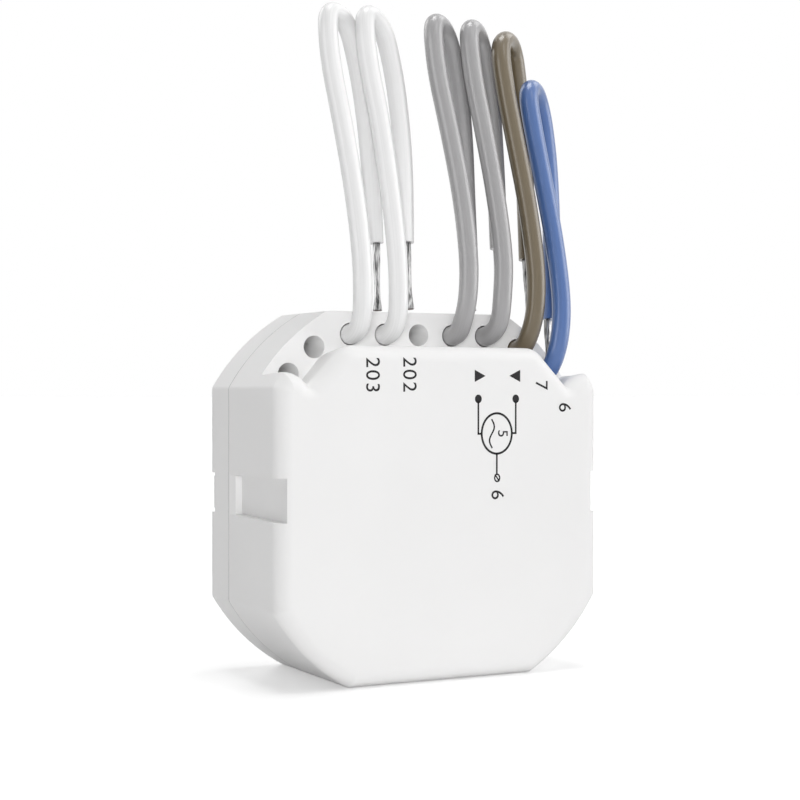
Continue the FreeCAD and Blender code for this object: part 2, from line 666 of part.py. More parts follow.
def make_button_and_led():
    """A small push switch and a light, each reached through a free wire hole."""
    hole_x, hole_z = left_inner_hole
    to_middle = Vector(-hole_x, 0, centre_z - hole_z).normalize() * button_inset
    x, z = hole_x + to_middle.x, hole_z + to_middle.z
    body = local_box(0, 0, 0, button_length, button_width, button_height)
    body = body.makeChamfer(0.15, [e for e in body.Edges if min(v.Point.z for v in e.Vertexes) > 1.0])
    well = Part.makeCylinder(plunger_diameter / 2 + plunger_clearance, button_height,
                             Vector(0, 0, button_height - plunger_sunk - plunger_travel - plunger_clearance))
    add("button_body", place_on_board(body.cut(well), x, z, 45))
    plunger = Part.makeCylinder(plunger_diameter / 2, plunger_sunk + plunger_rise,
                                Vector(0, 0, button_height - plunger_sunk))
    plunger = plunger.makeFillet(0.15, [e for e in plunger.Edges
                                        if len(e.Vertexes) == 1 and e.Vertexes[0].Point.z > button_height])
    add("button_plunger", place_on_board(plunger, x, z, 45))
    led_x, led_z = left_outer_hole
    led = local_box(0, 0, 0, led_length, led_width, led_height * 0.45)
    dome = local_box(0, 0, led_height * 0.45, led_length * 0.6, led_width, led_height * 0.55)
    dome = dome.makeChamfer(0.2, edges_where(dome, lambda edge: edge.BoundBox.ZMin > led_height * 0.9))
    add("status_led", place_on_board(led.fuse(dome).removeSplitter(), led_x, led_z, 45))


# Wire routes, each from its hole's mouth as the origin: out of the wall, up, over a hairpin and down
wire_routes = {
    "white_1": [
        (0, 0, 0), (0, -1.6, 0), (0.1, -3.4, 1.6), (0, -3.9, 5), (0.1, -3.4, 10.3), (-0.4, -2, 19.1),
        (-1.3, 0, 28.7), (-2.1, 1.6, 35.8), (-2.2, 2.4, 41.7), (-0.9, 3.1, 43), (1.1, 4, 43),
        (2.2, 4.7, 41.7), (2.4, 4.3, 38.7), (3, 3.5, 33.4), (3.3, 2.2, 26), (3.3, 1, 18.4),
        (3.5, 0.5, 12.1)],
    "white_2": [
        (0, 0, 0), (0, -1.6, 0), (0.2, -3.4, 1.7), (0.1, -3.9, 5.1), (0.2, -3.4, 10.3), (-0.2, -2, 19.1),
        (-0.8, -0.1, 28.8), (-1.7, 1.4, 35.8), (-1.9, 2.3, 41.7), (-0.7, 3, 43.1), (1.2, 4, 43.1),
        (2.5, 4.7, 41.7), (2.8, 4.3, 38.8), (3.4, 3.4, 33.5), (3.8, 2.1, 26.2), (3.4, 0.8, 18.6),
        (3, 0, 12.3)],
    "grey_1": [
        (0, 0, 0), (0, -1.6, 0), (-0.1, -3.3, 1.8), (0.4, -3.9, 5.1), (0.8, -3.4, 10.4), (0.4, -2.1, 19.1),
        (-0.7, -0.3, 28.6), (-1.8, 1.2, 35.6), (-1.8, 2.1, 41.5), (-0.7, 2.8, 42.8), (1.1, 3.9, 42.8),
        (2.5, 4.6, 41.5), (3, 4.2, 38.5), (3.5, 3.3, 33.3), (3.3, 2, 26), (2.7, 0.8, 18.5), (2.6, 0, 12.3)],
    "grey_2": [
        (0, 0, 0), (0, -1.6, 0), (0.5, -3.4, 1.7), (0.6, -3.9, 5.1), (1.1, -3.5, 10.3), (0.7, -2.2, 18.9),
        (-0.1, -0.4, 28.3), (-1, 1, 35.2), (-1.4, 1.9, 41.2), (-0.1, 2.8, 42.5), (1.6, 4.1, 42.5),
        (2.7, 4.9, 41.2), (3, 4.5, 38.2), (3.3, 3.5, 33), (3, 2.3, 25.7), (2.7, 1.1, 18.3),
        (2.5, 0.3, 12.1)],
    "brown": [
        (0, 0, 0), (0, -1.5, 0), (0.3, -3.1, 2), (0.8, -3.8, 5.6), (1, -3.6, 10.8), (0.4, -2.4, 19.5),
        (-0.7, -0.7, 29), (-1.4, 0.7, 35.9), (-1.7, 1.7, 41.7), (-0.3, 2.8, 43.3), (1.7, 4.5, 43.3),
        (3.1, 5.7, 41.7), (3.3, 5.3, 38.9), (3.2, 4.2, 33.6), (2.9, 2.8, 26.3), (2.5, 1.5, 18.8),
        (2.1, 0.5, 12.5)],
    "blue": [
        (0, 0, 0), (0, -1.6, 0), (0.5, -3.3, 2.1), (1.1, -3.9, 5.7), (1.6, -3.4, 10.5), (1.2, -2.2, 18.4),
        (0.1, -0.9, 27.1), (-0.7, 0.1, 33.4), (-1.3, 0.8, 38.5), (0.3, 1.9, 40.1), (2.6, 3.4, 40.1),
        (3.9, 4.5, 38.5), (3.7, 4, 35.6), (3.6, 3, 30), (3.1, 1.7, 22.3), (2.6, 0.6, 14.4), (2, -0.2, 7.8)],
}

# The bare ends aren't quite in line with their wires: how far each is to the right of its wire's own line,
# where it comes out and at its end
tip_shifts = {
    "white_1": (0.30, 0.10),
    "white_2": (0.35, 0.70),
    "grey_1": (0.0, 0.0),
    "grey_2": (-0.25, -0.20),
    "brown": (-0.35, 0.0),
    "blue": (-0.45, -0.45),
}
tip_hidden = 0.3           # cut away again by the insulation, so that the two meet all round


def rounded_path(points):
    """Straight runs joined by tangent arcs, each as large as its two runs allow."""
    edges = []
    radii = []
    here = points[0]
    for before, corner, after in zip(points, points[1:], points[2:]):
        back = before - corner
        ahead = after - corner
        half_turn = (math.pi - back.getAngle(ahead)) / 2
        cut = 0.45 * min(back.Length, ahead.Length)
        radius = cut / math.tan(half_turn)
        radii.append(radius)
        start = corner + Vector(back).normalize() * cut
        stop = corner + Vector(ahead).normalize() * cut
        bisector = (Vector(back).normalize() + Vector(ahead).normalize()).normalize()
        mid = corner + bisector * (radius / math.cos(half_turn) - radius)
        edges.append(Part.makeLine(here, start))
        edges.append(Part.Arc(start, mid, stop).toShape())
        here = stop
    edges.append(Part.makeLine(here, points[-1]))
    return Part.Wire(edges), radii


def tube_along(path, radius):
    """A round tube swept along a path of lines and tangent arcs."""
    first = path.Edges[0]
    direction = first.tangentAt(first.FirstParameter)
    section = Part.Wire([Part.makeCircle(radius, first.valueAt(first.FirstParameter), direction)])
    return path.makePipeShell([section], True, False)


def bare_end(name, before, last, bare):
    """The bare conductor below a wire's end, from a little way inside its insulation."""
    down = (last - before).normalize()
    near, far = tip_shifts[name]
    start = last + Vector(near, 0, 0)
    axis = last + down * bare + Vector(far, 0, 0) - start
    bare_direction = Vector(axis).normalize()
    hidden_start = start - bare_direction * tip_hidden
    return Part.makeCylinder(conductor_radius, axis.Length + tip_hidden, hidden_start, axis)


def make_wires():
    """The free wires outside the housing, their tinned ends, and the tails that go in to the board."""
    tails = []
    cores = []
    for name, (x, z) in wire_holes.items():
        mouth = Vector(x, wall_y, z)
        points = [mouth + Vector(*offset) for offset in wire_routes[name]]
        path, radii = rounded_path(points)
        tube = tube_along(path, wire_radius)
        expected = math.pi * wire_radius ** 2 * path.Length
        print("wire %s: length %.1f, volume over section times length %.4f, radii %s"
              % (name, path.Length, tube.Volume / expected, " ".join("%.1f" % r for r in radii)))
        add("wire_" + name, tube)
        bare = blue_tinned_length if name == "blue" else tinned_length
        add("tip_" + name, bare_end(name, points[-2], points[-1], bare).cut(tube))
        end_y = board_y - tail_strip
        tails.append(disc(wire_radius, wall_y, end_y, x, z))
        cores.append(disc(conductor_radius, end_y, board_back_y + lead_through, x, z))
        lead_places.append((x, z, conductor_radius))
    add("wire_tails", Part.makeCompound(tails))
    add("tail_conductors", Part.makeCompound(cores))


def make_board():
    """Main board, cut to the housing's outline, with a hole for every lead and locating pin."""
    edge = shell_wall + board_edge_gap
    plate = box(-half_width + board_side_gap, board_y, board_side_gap,
                half_width - board_side_gap, board_back_y, housing_height - edge)
    plate = plate.common(disc(corner_reach - edge, board_y, board_back_y, 0, centre_z))
    for x, z, radius in lead_places:
        plate = plate.cut(disc(radius + lead_clearance, board_y - 1.0, board_back_y + 1.0, x, z))
    for x, z in post_places():
        plate = plate.cut(disc(pin_diameter / 2 + pin_clearance, board_y - 1.0, board_back_y + 1.0, x, z))
    add("main_board", plate.removeSplitter())


def make_solder_joints():
    """A cone of solder round every lead on the back of the board."""
    joints = []
    for x, z, radius in lead_places:
        base = max(solder_radius, radius + 0.45)
        cone = Part.makeCone(base, radius + 0.12, solder_height, Vector(x, board_back_y, z), Vector(0, 1, 0))
        joints.append(cone.cut(disc(radius, board_back_y - 1.0, board_back_y + 3.0, x, z)))
    add("solder_joints", Part.makeCompound(joints))


os.makedirs("parts", exist_ok=True)
add("front_shell", make_front_shell())
add("rear_cover", make_rear_cover())
make_relays()
make_power_parts()
make_chips()
make_radio()
make_button_and_led()
make_wires()
make_board()
make_solder_joints()

for name, shape in parts.items():
    solids = len(shape.Solids)
    if not shape.isValid() or solids == 0:
        print("CHECK", name, "valid", shape.isValid(), "solids", solids)
    shape.exportStep("parts/%s.step" % name)
print(len(parts), "pieces written")
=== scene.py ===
# %% [markdown]
# # A flush-box roller shutter controller, from frame to picture
#
# The object is a small light grey box that sits behind a wall switch and drives the motor of a shutter.
# Six stiff wires leave a recess at its top, fold over and end in bare, tinned strands.
# The exact solids come in as a fixed frame. This lesson gives them their finishes, and adds what a solid
# modeller leaves out: smooth wires, twisted strands, the printed diagram, the floor and the light.

# %% Load the frame
import math
import bmesh
import bpy
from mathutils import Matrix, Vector


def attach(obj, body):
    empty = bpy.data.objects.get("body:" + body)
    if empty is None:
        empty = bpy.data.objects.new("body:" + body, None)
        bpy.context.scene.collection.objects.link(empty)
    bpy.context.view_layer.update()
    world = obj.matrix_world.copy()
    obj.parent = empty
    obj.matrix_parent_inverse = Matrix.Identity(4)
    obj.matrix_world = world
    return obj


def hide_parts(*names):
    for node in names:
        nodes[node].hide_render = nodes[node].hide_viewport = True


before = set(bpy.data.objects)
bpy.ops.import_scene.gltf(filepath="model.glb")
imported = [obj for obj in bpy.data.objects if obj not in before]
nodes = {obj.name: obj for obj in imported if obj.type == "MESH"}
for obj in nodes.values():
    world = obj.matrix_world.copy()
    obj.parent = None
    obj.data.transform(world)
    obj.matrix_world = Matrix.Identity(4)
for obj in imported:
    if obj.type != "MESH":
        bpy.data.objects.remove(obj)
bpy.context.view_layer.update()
MM = 0.001
print("nodes in the frame:", len(nodes))

# %% [markdown]
# ## The camera
#
# A product photo is easiest to match when the camera is set first, and never moved again. The place, the
# turn and the focal length were worked out from the straight edges of the box in the picture. The lens is a
# short telephoto, 0.23 m away, almost level, and 27 degrees to the left of the front.

# %% Camera
IMAGE_WIDTH = 800
FOCAL_PIXELS = 1668.675
SENSOR = 36.0
CAMERA_PLACE = (-104.697, -201.075, 37.554)
CAMERA_TILT = -0.261
CAMERA_TURN = -27.296

camera_data = bpy.data.cameras.new("camera")
camera_data.sensor_width = SENSOR
camera_data.lens = SENSOR * FOCAL_PIXELS / IMAGE_WIDTH
camera_data.clip_start = 0.01
camera = bpy.data.objects.new("camera", camera_data)
camera.location = [value * MM for value in CAMERA_PLACE]
camera.rotation_euler = (math.radians(90 + CAMERA_TILT), 0, math.radians(CAMERA_TURN))
bpy.context.scene.collection.objects.link(camera)
bpy.context.scene.camera = camera
print("lens: %.2f mm" % camera_data.lens)

# %% [markdown]
# ## The wires
#
# Each wire is a bundle of copper strands in a stiff plastic skin, 2.5 mm thick. It comes straight out of
# its hole, turns up, leans back, folds over in a tight hairpin and comes down again. A NURBS curve suits
# it: a few control points give one smooth bend after another, and the bevel makes it round. A chain of
# straight cylinders would look like bent wire. The points are offsets from the mouth of each hole, in
# millimetres. The order is set after the points are in, because a curve with too few points can't hold it.
# The skin swells a little towards the sharp fold, and again in the mouth of its hole.

# %% Places of the wire holes
WALL_Y = -3.6
ROW_Z = 45.2
PITCH = 5.08
CENTRE_Z = 24.1
DIAGONAL_REACH = 24.55
PAIR_ANGLE = math.radians(45.729)

pair_x, pair_z = DIAGONAL_REACH * math.cos(PAIR_ANGLE), DIAGONAL_REACH * math.sin(PAIR_ANGLE)
step_x, step_z = PITCH / 2 * math.sin(PAIR_ANGLE), PITCH / 2 * math.cos(PAIR_ANGLE)
hole_mouths = {
    "white_1": (-2 * PITCH, WALL_Y, ROW_Z),
    "white_2": (-PITCH, WALL_Y, ROW_Z),
    "grey_1": (PITCH, WALL_Y, ROW_Z),
    "grey_2": (2 * PITCH, WALL_Y, ROW_Z),
    "brown": (pair_x - step_x, WALL_Y, CENTRE_Z + pair_z + step_z),
    "blue": (pair_x + step_x, WALL_Y, CENTRE_Z + pair_z - step_z),
}
print("hole mouths:", {name: tuple(round(v, 2) for v in place) for name, place in hole_mouths.items()})

# %% Routes of the wires, in millimetres
wire_routes = {
    "white_1": [
        (0, 0, 0), (0, -1.6, 0), (0.1, -3.4, 1.6), (0, -3.9, 5), (0.1, -3.4, 10.3), (-0.4, -2, 19.1),
        (-1.3, 0, 28.7), (-2.1, 1.6, 35.8), (-2.2, 2.4, 41.6), (-1.2, 3.1, 42.9), (0.7, 4, 42.5),
        (2.1, 4.7, 41.0), (2.7, 4.3, 38.2), (3.4, 3.5, 33.1), (3.8, 2.2, 25.8), (3.8, 1, 18.2),
        (3.8, 0.5, 12.1)],
    "white_2": [
        (0, 0, 0), (0, -1.6, 0), (0.2, -3.4, 1.7), (0.1, -3.9, 5.1), (0.2, -3.4, 10.3), (-0.2, -2, 19.1),
        (-0.8, -0.1, 28.8), (-1.7, 1.4, 35.8), (-1.9, 2.3, 41.6), (-1.1, 3, 43.0), (0.7, 4, 42.6),
        (2.3, 4.7, 41.1), (2.9, 4.3, 38.4), (3.5, 3.4, 33.3), (3.7, 2.1, 26.1), (3.4, 0.8, 18.6),
        (3, 0, 12.3)],
    "grey_1": [
        (0, 0, 0), (0, -1.6, 0), (-0.1, -3.3, 1.8), (0.4, -3.9, 5.1), (0.8, -3.4, 10.4), (0.4, -2.1, 19.1),
        (-0.7, -0.3, 28.6), (-1.6, 1.2, 35.6), (-1.8, 2.1, 41.6), (-1, 2.8, 42.9), (0.7, 3.9, 42.6),
        (2.1, 4.6, 41), (2.7, 4.2, 38.1), (3.2, 3.3, 33), (3.1, 2, 26), (2.7, 0.8, 18.5), (2.6, 0, 12.3)],
    "grey_2": [
        (0, 0, 0), (0, -1.6, 0), (0.5, -3.4, 1.7), (0.6, -3.9, 5.1), (1.1, -3.5, 10.3), (0.6, -2.2, 18.9),
        (-0.3, -0.4, 28.3), (-1.1, 1, 35.2), (-1.4, 1.9, 41.3), (-0.5, 2.8, 42.7), (1.2, 4.1, 42.4),
        (2.4, 4.9, 40.8), (2.9, 4.5, 37.9), (3.2, 3.5, 32.8), (3, 2.3, 25.7), (2.7, 1.1, 18.3),
        (2.5, 0.3, 12.1)],
    "brown": [
        (0, 0, 0), (0, -1.5, 0), (0.3, -3.1, 2), (0.8, -3.8, 5.6), (1, -3.6, 10.8), (0.4, -2.4, 19.5),
        (-0.7, -0.7, 29), (-1.4, 0.7, 35.9), (-1.7, 1.7, 41.7), (-0.3, 2.8, 43.3), (1.7, 4.5, 43.3),
        (3.1, 5.7, 41.7), (3.3, 5.3, 38.9), (3.2, 4.2, 33.6), (2.9, 2.8, 26.3), (2.5, 1.5, 18.8),
        (2.1, 0.5, 12.5)],
    "blue": [
        (0, 0, 0), (0, -1.6, 0), (0.5, -3.3, 2.1), (1.1, -3.9, 5.7), (1.6, -3.4, 10.5), (1.2, -2.2, 18.4),
        (0.1, -0.9, 27.1), (-0.7, 0.1, 33.4), (-1.3, 0.8, 38.6), (-0.3, 1.8, 40.3), (1.5, 3.2, 39.9),
        (2.9, 4.3, 38.2), (3.4, 4, 35.2), (3.5, 3, 29.7), (3.1, 1.7, 22.2), (2.6, 0.6, 14.4), (2, -0.2, 7.8)],
}
print("points in each route:", {name: len(points) for name, points in wire_routes.items()})

# %% Draw the wires
WIRE_DIAMETER = 2.5 * MM
FOLD_SWELL = 0.06
MOUTH_SWELL = 0.08
MOUTH_POINTS = 2
STEPS_PER_POINT = 10
ROUND_STEPS = 8


def route_in_metres(name):
    """The control points of one wire, from the mouth of its hole."""
    mouth = Vector(hole_mouths[name])
    return [(mouth + Vector(offset)) * MM for offset in wire_routes[name]]


def skin_radius(i, last):
    """Radius of the skin at one of its points, counted from the hole."""
    fold = FOLD_SWELL * math.sin(math.pi * i / last)
    mouth = MOUTH_SWELL * max(0, 1 - i / MOUTH_POINTS)
    return WIRE_DIAMETER / 2 * (1 + fold + mouth)


def draw_wire(name):
    """A round, smooth wire along its route. The bevel is one unit, so each point's radius is the real one."""
    points = route_in_metres(name)
    last = len(points) - 1
    curve = bpy.data.curves.new("insulation_" + name, "CURVE")
    curve.dimensions = "3D"
    spline = curve.splines.new("NURBS")
    spline.points.add(last)
    for i, place in enumerate(points):
        spline.points[i].co = (*place, 1.0)
        spline.points[i].radius = skin_radius(i, last)
    spline.order_u = 3
    spline.use_endpoint_u = True
    curve.resolution_u = STEPS_PER_POINT
    curve.bevel_depth = 1.0
    curve.bevel_resolution = ROUND_STEPS
    curve.use_fill_caps = True
    wire = bpy.data.objects.new("insulation_" + name, curve)
    bpy.context.scene.collection.objects.link(wire)
    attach(wire, "housing")
    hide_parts("wire_" + name)
    return wire


wires = {name: draw_wire(name) for name in wire_routes}
print("wires drawn:", ", ".join(wires))

# %% [markdown]
# ## The bare ends
#
# Nine millimetres of insulation are stripped off, seven on the blue wire, and the copper strands under it
# are twisted and dipped in tin. The tin fills the gaps between them, so what shows is one rod with soft
# flutes that turn only a little, thinner in the middle and flared at its cut end. Drawing every strand would
# be slower and look too clean. One mesh, built ring by ring, does it: the radius goes up and down round each
# ring, and each ring is turned a little further than the last.
# Most of the ends aren't quite in line with their wires. Their leans are given in millimetres to the side,
# at the wire and at the cut end.

# %% Form of the twisted, tinned strands
TIP_RADIUS = 0.525 * MM
STRANDS = 7
TIP_RINGS = 44
TIP_SIDES = 72
TWIST_PER_MM = math.radians(6)
WAIST_DEPTH = 0.22
WAIST_SHIFT = 1.3
FLUTE_DEPTH = 0.13
LUMP_DEPTH = 0.04
LUMP_DRIFT = 9.0
FLARE = 0.22
FLARE_START = 0.82
STRIPPED = 9.0
STRIPPED_BLUE = 7.0

tip_lengths = {name: STRIPPED for name in wire_routes}
tip_lengths["blue"] = STRIPPED_BLUE
tip_leans = {
    "white_1": (0.30, 0.10), "white_2": (0.35, 0.70), "grey_1": (0, 0),
    "grey_2": (-0.25, -0.20), "brown": (-0.35, 0), "blue": (-0.78, -0.40),
}


def tip_radius(turn, along):
    """Radius of the tinned bundle at an angle and at a share of its length."""
    waist = 1.0 - WAIST_DEPTH * math.sin(math.pi * along ** WAIST_SHIFT) ** 2
    flute = FLUTE_DEPTH * (1.0 - abs(math.cos(turn * STRANDS / 2)))
    lump = LUMP_DEPTH * (1.0 + math.sin(2 * turn + LUMP_DRIFT * along))
    flare = 1.0 + FLARE * max(0.0, (along - FLARE_START) / (1.0 - FLARE_START))
    return TIP_RADIUS * waist * flare * (1.0 - flute) * (1.0 - lump)


def tip_ring(shape, middle, across, upright, twist, along):
    """The vertices of one ring of the bundle, twisted by its share of the whole twist."""
    ring = []
    for j in range(TIP_SIDES):
        turn = 2 * math.pi * j / TIP_SIDES
        angle = turn + twist * along
        outward = across * math.cos(angle) + upright * math.sin(angle)
        ring.append(shape.verts.new(middle + outward * tip_radius(turn, along)))
    return ring


slimmest = min(tip_radius(0, i / TIP_RINGS) for i in range(TIP_RINGS + 1))
print("slimmest radius of a bare end: %.2f mm" % (slimmest / MM))

# %% Draw the bare ends
def draw_tip(name):
    """One bare end below its wire's last run."""
    points = route_in_metres(name)
    near, far = tip_leans[name]
    length = tip_lengths[name]
    start = points[-1] + Vector((near * MM, 0, 0))
    end = points[-1] + (points[-1] - points[-2]).normalized() * length * MM + Vector((far * MM, 0, 0))
    forward = (end - start).normalized()
    across = forward.orthogonal().normalized()
    upright = forward.cross(across)
    twist = TWIST_PER_MM * length
    shape = bmesh.new()
    rings = []
    for i in range(TIP_RINGS + 1):
        along = i / TIP_RINGS
        rings.append(tip_ring(shape, start.lerp(end, along), across, upright, twist, along))
    for lower, upper in zip(rings, rings[1:]):
        for j in range(TIP_SIDES):
            k = (j + 1) % TIP_SIDES
            shape.faces.new((lower[j], lower[k], upper[k], upper[j])).smooth = True
    shape.faces.new(list(reversed(rings[0])))
    shape.faces.new(rings[-1]).material_index = 1
    bmesh.ops.recalc_face_normals(shape, faces=shape.faces)
    mesh = bpy.data.meshes.new("strands_" + name)
    shape.to_mesh(mesh)
    shape.free()
    tip = bpy.data.objects.new("strands_" + name, mesh)
    bpy.context.scene.collection.objects.link(tip)
    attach(tip, "housing")
    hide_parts("tip_" + name)
    return tip


tips = {name: draw_tip(name) for name in wire_routes}
print("faces of the bare ends:", {name: len(tip.data.polygons) for name, tip in tips.items()})

# %% [markdown]
# A wire stays the length it was cut to, however it is bent. Here only the wires are counted.

print("cords declared:", len(wires))

# %% [markdown]
# ## Materials: a small set of helpers
#
# Every finish here starts from the Principled shader. What is the same all over a surface, such as the
# strength of a coat or how metallic it is, is typed on the shader itself.
# What varies is driven by noise: a faint drift of colour over millimetres, an uneven roughness, and a fine
# grain that tilts the surface. An image of each surface would do it too, but a noise stays sharp at any
# distance. Its size is given in features per metre, since the scene is in metres.

# %% Helpers for the finishes
DRIFT_FROM, DRIFT_TO = 0.35, 0.65
SHINE_FROM, SHINE_TO = 0.3, 0.7


def new_finish(name):
    """A material with only the Principled shader, and that shader."""
    material = bpy.data.materials.new(name)
    material.use_nodes = True
    return material, material.node_tree.nodes["Principled BSDF"]


def noise_in(material, scale, detail=2.0, stretch=(1, 1, 1), space="Object"):
    """A noise texture fixed to the surface, in features per metre."""
    tree = material.node_tree
    place = tree.nodes.new("ShaderNodeTexCoord")
    mapping = tree.nodes.new("ShaderNodeMapping")
    mapping.inputs["Scale"].default_value = stretch
    noise = tree.nodes.new("ShaderNodeTexNoise")
    noise.inputs["Scale"].default_value = scale
    noise.inputs["Detail"].default_value = detail
    tree.links.new(place.outputs[space], mapping.inputs["Vector"])
    tree.links.new(mapping.outputs["Vector"], noise.inputs["Vector"])
    return noise


def drift_colour(material, shader, noise, dark, light):
    """Base colour that drifts between a darker and a lighter one."""
    tree = material.node_tree
    ramp = tree.nodes.new("ShaderNodeValToRGB")
    ramp.color_ramp.elements[0].position = DRIFT_FROM
    ramp.color_ramp.elements[1].position = DRIFT_TO
    ramp.color_ramp.elements[0].color = (*dark, 1)
    ramp.color_ramp.elements[1].color = (*light, 1)
    tree.links.new(noise.outputs["Fac"], ramp.inputs["Fac"])
    tree.links.new(ramp.outputs["Color"], shader.inputs["Base Color"])
    return ramp


def grain(material, shader, noise, height):
    """Fine unevenness of the surface, height in metres."""
    tree = material.node_tree
    bump = tree.nodes.new("ShaderNodeBump")
    bump.inputs["Strength"].default_value = 1.0
    bump.inputs["Distance"].default_value = height
    tree.links.new(noise.outputs["Fac"], bump.inputs["Height"])
    tree.links.new(bump.outputs["Normal"], shader.inputs["Normal"])


def vary_roughness(material, shader, noise, low, high):
    """Roughness that drifts with a noise."""
    tree = material.node_tree
    spread = tree.nodes.new("ShaderNodeMapRange")
    spread.inputs["From Min"].default_value = SHINE_FROM
    spread.inputs["From Max"].default_value = SHINE_TO
    spread.inputs["To Min"].default_value = low
    spread.inputs["To Max"].default_value = high
    tree.links.new(noise.outputs["Fac"], spread.inputs["Value"])
    tree.links.new(spread.outputs["Result"], shader.inputs["Roughness"])


def shade(colour, factor):
    """A colour made darker or lighter by a factor."""
    return tuple(min(1.0, channel * factor) for channel in colour)


def dress(node, material):
    """Give a solid of the frame its finish."""
    item = nodes[node]
    if not item.material_slots:
        item.data.materials.append(material)
    for slot in item.material_slots:
        slot.material = material


print("helpers ready")

# %% [markdown]
# ## The housing's plastic
#
# The shell is moulded in light grey plastic. The mould was spark-eroded, which leaves a very fine, even
# grain and a dull surface with a wide, soft highlight. Two noises do it: one at about a tenth of a
# millimetre for the grain, and a slow one for the slight unevenness that every moulding has. A narrow band
# at the depth of the fine groove where shell and cover meet is painted darker, as painted shade in the
# groove.
# The groove itself is cut in the solids, and the band only colours it.

# %% Housing finish
HOUSING_GREY = (0.835, 0.832, 0.830)
HOUSING_SHINE = 0.20
SLOW_DRIFT = 60
FINE_GRAIN = 9000
GROOVE_Y = 5.11
GROOVE_HALF = 0.13
GROOVE_PAINTED_SHADE = 0.66


def paint_shade_in_groove(material, shader, ramp):
    """Paint shade on the narrow band of the surface that lies at the depth of the groove."""
    tree = material.node_tree
    spot = tree.nodes.new("ShaderNodeTexCoord")
    split = tree.nodes.new("ShaderNodeSeparateXYZ")
    groove = tree.nodes.new("ShaderNodeMath")
    groove.operation = "COMPARE"
    groove.inputs[1].default_value = GROOVE_Y * MM
    groove.inputs[2].default_value = GROOVE_HALF * MM
    # Painted shade: the band at the groove's depth gets a darker grey.
    shade_mix = tree.nodes.new("ShaderNodeMix")
    shade_mix.data_type = "RGBA"
    shade_mix.inputs[7].default_value = (*shade(HOUSING_GREY, GROOVE_PAINTED_SHADE), 1)
    tree.links.new(spot.outputs["Object"], split.inputs[0])
    tree.links.new(split.outputs["Y"], groove.inputs[0])
    tree.links.new(groove.outputs[0], shade_mix.inputs["Factor"])
    tree.links.new(ramp.outputs["Color"], shade_mix.inputs[6])
    tree.links.new(shade_mix.outputs[2], shader.inputs["Base Color"])


housing_plastic, shader = new_finish("housing_plastic")
slow = noise_in(housing_plastic, SLOW_DRIFT)
fine = noise_in(housing_plastic, FINE_GRAIN)
ramp = drift_colour(housing_plastic, shader, slow, shade(HOUSING_GREY, 0.992), shade(HOUSING_GREY, 1.008))
# Painted shade in the fine groove between shell and cover.
paint_shade_in_groove(housing_plastic, shader, ramp)
vary_roughness(housing_plastic, shader, fine, 0.46, 0.56)
grain(housing_plastic, shader, fine, 0.004 * MM)
shader.inputs["Specular IOR Level"].default_value = HOUSING_SHINE
for node in ("front_shell", "rear_cover"):
    dress(node, housing_plastic)
print("housing finish on front_shell and rear_cover")

# %% [markdown]
# In the picture the empty holes and the wall around them are only lightly shaded, because light comes
# through the thin plastic there. A shader for that would be slow, so these faces get painted light instead:
# a whiter colour, a little whiter on the wall of the recess, and more inside the bores. The faces are found
# by where they are, because the solid is one mesh and stays as it is.

# %% The recess wall and the insides of the bores
BORE_RADIUS = 1.475
RECESS_PAINTED_LIGHT = (0.905, 0.902, 0.900)
BORE_PAINTED_LIGHT = (0.975, 0.972, 0.970)
DULL = 0.6
NEAR = 0.01
FRONTWARD = -0.99


def painted_light_plastic(name, grey):
    """The housing's plastic without its grain, in a lighter grey that is painted light."""
    material, shader = new_finish(name)
    drift_colour(material, shader, noise_in(material, SLOW_DRIFT), shade(grey, 0.99), grey)
    shader.inputs["Roughness"].default_value = DULL
    shader.inputs["Specular IOR Level"].default_value = HOUSING_SHINE
    return material


wired_holes = [(x, z) for x, _, z in hole_mouths.values()]
free_holes = [(0, ROW_Z)] + [(-hole_mouths[name][0], hole_mouths[name][2]) for name in ("brown", "blue")]
shell = nodes["front_shell"]
# Painted light: whiter colours for the recess wall and the insides of the bores.
shell.data.materials.append(painted_light_plastic("recess_painted_light", RECESS_PAINTED_LIGHT))
shell.data.materials.append(painted_light_plastic("bore_painted_light", BORE_PAINTED_LIGHT))
recess_slot, bore_slot = len(shell.material_slots) - 2, len(shell.material_slots) - 1
inside = 0
for face in shell.data.polygons:
    x, y, z = face.center / MM
    gap = min(math.hypot(x - hole_x, z - hole_z) for hole_x, hole_z in wired_holes + free_holes)
    if y > WALL_Y and gap < BORE_RADIUS + NEAR:
        face.material_index = bore_slot
        inside += 1
    elif abs(y - WALL_Y) < NEAR and face.normal.y < FRONTWARD:
        face.material_index = recess_slot
print("faces inside the bores:", inside)

# %% [markdown]
# ## Wire skins
#
# The insulation is extruded: it is pressed through a die, so it is smooth with faint lines along the wire. A
# noise stretched along the wire gives the lines. The curve's own coordinates run along it, so the lines
# follow every bend. A clear coat makes the skin glossier than the housing.
# The far runs look darker than the near ones in the picture. Part of that is shade from the lamps, and the
# rest is painted shade: the skin's colour is made a little darker after the fold.

# %% Painted shade after the fold
# Levels of painted shade along the wire, from its hole to its free end.
PAINTED_SHADE_ALONG = [(0.0, 1.0), (0.46, 1.0), (0.54, 0.94), (0.80, 0.97), (1.0, 1.0)]


